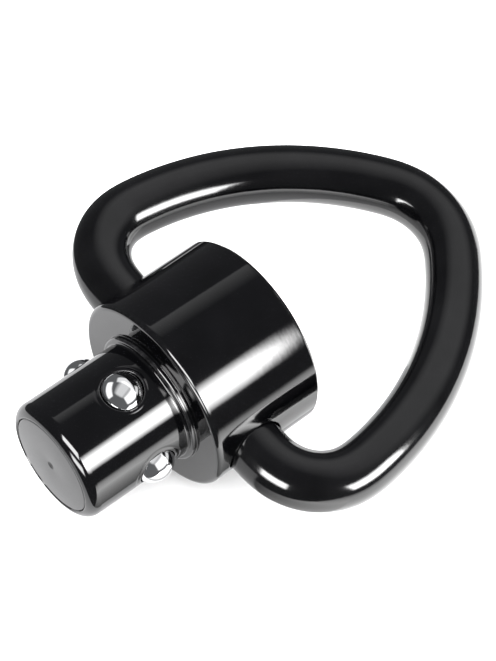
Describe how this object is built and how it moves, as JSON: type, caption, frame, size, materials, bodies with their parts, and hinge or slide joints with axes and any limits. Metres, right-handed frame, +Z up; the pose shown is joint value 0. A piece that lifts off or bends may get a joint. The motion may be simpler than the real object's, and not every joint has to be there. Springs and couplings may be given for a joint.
{
  "type": "ball-lock swivel ring",
  "caption": "Push-button quick-release swivel: a turned black head and stem with spring-loaded lock balls and a pivoting wire bail for a strap or shackle.",
  "frame": {"origin": "on the surface that the head lies on, under the middle of the whole swivel's length", "axes": "+X along the swivel axis from the stem's tip to the push button, +Y along the bail's pivot axis, +Z up"},
  "size_m": [0.0396, 0.0312, 0.0152],
  "materials": {
    "body_black": "smooth gloss black",
    "bail_black": "satin gloss black",
    "ball_chrome": "polished",
    "spring_steel": "bright drawn",
    "ring_steel": "dark tempered"
  },
  "bodies": {
    "swivel": {"swivel_body": "body_black", "stem_end_plug": "body_black", "snap_ring": "ring_steel", "return_spring": "spring_steel"},
    "button": {"push_button": "body_black", "plunger": "spring_steel"},
    "bail": {"bail": "bail_black"},
    "ball_1": {"lock_ball_1": "ball_chrome"},
    "ball_2": {"lock_ball_2": "ball_chrome"},
    "ball_3": {"lock_ball_3": "ball_chrome"},
    "ball_4": {"lock_ball_4": "ball_chrome"}
  },
  "joints": [
    {"name": "bail_swing", "type": "hinge", "parent": "swivel", "child": "bail", "pos_m": [-0.00713, 0, 0.00759], "axis": [0, 1, 0], "continuous": true},
    {"name": "button_press", "type": "slide", "parent": "swivel", "child": "button", "axis": [-1, 0, 0], "range_m": [0, 0.00225], "stiffness_N_per_m": 1500, "springref_m": -0.003, "deforming": ["return_spring"]},
    {"name": "ball_1_in", "type": "slide", "parent": "swivel", "child": "ball_1", "axis": [0, 0, 1], "range_m": [0, 0.0009]},
    {"name": "ball_2_in", "type": "slide", "parent": "swivel", "child": "ball_2", "axis": [0, -1, 0], "range_m": [0, 0.0009]},
    {"name": "ball_3_in", "type": "slide", "parent": "swivel", "child": "ball_3", "axis": [0, 0, -1], "range_m": [0, 0.0009]},
    {"name": "ball_4_in", "type": "slide", "parent": "swivel", "child": "ball_4", "axis": [0, 1, 0], "range_m": [0, 0.0009]}
  ],
  "couplings": [
    {"joint": "ball_1_in", "follows": "button_press", "ratio": 0.4},
    {"joint": "ball_2_in", "follows": "button_press", "ratio": 0.4},
    {"joint": "ball_3_in", "follows": "button_press", "ratio": 0.4},
    {"joint": "ball_4_in", "follows": "button_press", "ratio": 0.4}
  ]
}
